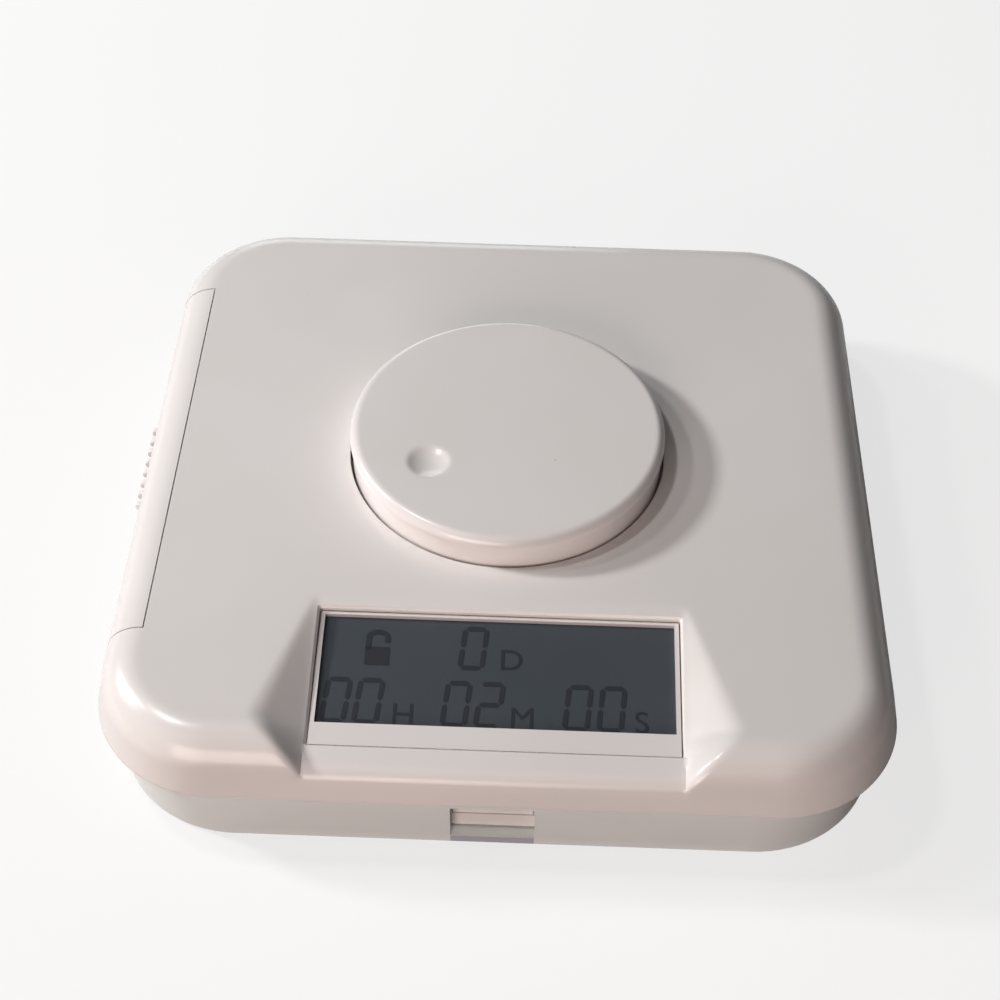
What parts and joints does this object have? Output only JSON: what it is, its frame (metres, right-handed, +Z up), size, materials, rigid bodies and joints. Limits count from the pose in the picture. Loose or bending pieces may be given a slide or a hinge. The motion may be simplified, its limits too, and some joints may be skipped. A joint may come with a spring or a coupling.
{
  "type": "timed lock container",
  "caption": "Square lidded tray with a timer: a dial sets the time, a display shows it, and two motor-driven bolts hold the lid shut until it runs out.",
  "frame": {"origin": "on the surface it stands on, under the middle of the tray", "axes": "+Z up through the dial side, -Y towards the front with the display, +X to the right of someone facing the display"},
  "size_m": [0.1498, 0.1498, 0.0354],
  "materials": {
    "abs_white": "glossy moulded ABS",
    "milky_tray": "milky translucent moulded plastic",
    "pom_white": "white acetal",
    "steel": "bright steel",
    "board_green": "solder mask on glass epoxy",
    "black_plastic": "black moulded plastic",
    "display_window": "clear acrylic window",
    "display_glass": "dark liquid crystal glass",
    "pink_rubber": "conductive elastomer",
    "cell_wrap": "printed cell sleeve"
  },
  "bodies": {
    "tray": {"tray": "milky_tray"},
    "lid": {"top_cover": "abs_white", "lid_base": "abs_white", "battery_cells": "cell_wrap", "contact_spring": "steel", "contact_plate": "steel", "lcd_bezel": "abs_white", "lcd_lens": "display_window", "lcd_panel": "display_glass", "zebra_strips": "pink_rubber", "display_board": "board_green", "main_board": "board_green", "buzzer": "black_plastic", "encoder_board": "board_green", "encoder_body": "black_plastic", "dome_switch": "steel", "ring_clip": "steel", "gear_axle": "steel", "motor": "steel", "position_sensor": "black_plastic", "cover_screws": "steel", "board_screws": "steel"},
    "battery_door": {"battery_door": "abs_white"},
    "plunger": {"push_plunger": "pom_white"},
    "knob": {"knob_cap": "abs_white", "knob_skirt": "abs_white", "encoder_shaft": "steel"},
    "ring": {"cam_ring": "pom_white"},
    "front_bolt": {"front_bolt": "pom_white"},
    "back_bolt": {"back_bolt": "pom_white"},
    "compound_gear": {"compound_gear": "pom_white"},
    "motor_rotor": {"motor_pinion": "pom_white", "motor_shaft": "steel"}
  },
  "joints": [
    {"name": "lid_lift", "type": "slide", "parent": "tray", "child": "lid", "axis": [0, 0, 1], "range_m": [0, 0.05]},
    {"name": "battery_door_slide", "type": "slide", "parent": "lid", "child": "battery_door", "axis": [-1, 0, 0], "range_m": [0, 0.015]},
    {"name": "knob_press", "type": "slide", "parent": "lid", "child": "plunger", "axis": [0, 0, -1], "range_m": [0, 0.001], "stiffness_N_per_m": 1500, "springref_m": -0.0015},
    {"name": "knob_turn", "type": "hinge", "parent": "plunger", "child": "knob", "pos_m": [0, 0.0035, 0.03], "axis": [0, 0, 1], "continuous": true},
    {"name": "ring_turn", "type": "hinge", "parent": "lid", "child": "ring", "pos_m": [0, 0.0035, 0.018], "axis": [0, 0, 1], "range_deg": [0, 30]},
    {"name": "front_bolt_slide", "type": "slide", "parent": "lid", "child": "front_bolt", "axis": [0, -1, 0], "range_m": [0, 0.0022]},
    {"name": "back_bolt_slide", "type": "slide", "parent": "lid", "child": "back_bolt", "axis": [0, 1, 0], "range_m": [0, 0.0022]},
    {"name": "compound_gear_turn", "type": "hinge", "parent": "lid", "child": "compound_gear", "pos_m": [0.02005, 0.0274, 0.017], "axis": [0, 0, 1], "range_deg": [-165, 0]},
    {"name": "motor_turn", "type": "hinge", "parent": "lid", "child": "motor_rotor", "pos_m": [0.03137, 0.03871, 0.017], "axis": [0, 0, 1], "range_deg": [0, 495]}
  ],
  "couplings": [
    {"joint": "front_bolt_slide", "follows": "ring_turn", "m_per_rad": 0.0042},
    {"joint": "back_bolt_slide", "follows": "ring_turn", "m_per_rad": 0.0042},
    {"joint": "compound_gear_turn", "follows": "ring_turn", "ratio": -5.5},
    {"joint": "motor_turn", "follows": "ring_turn", "ratio": 16.5}
  ]
}
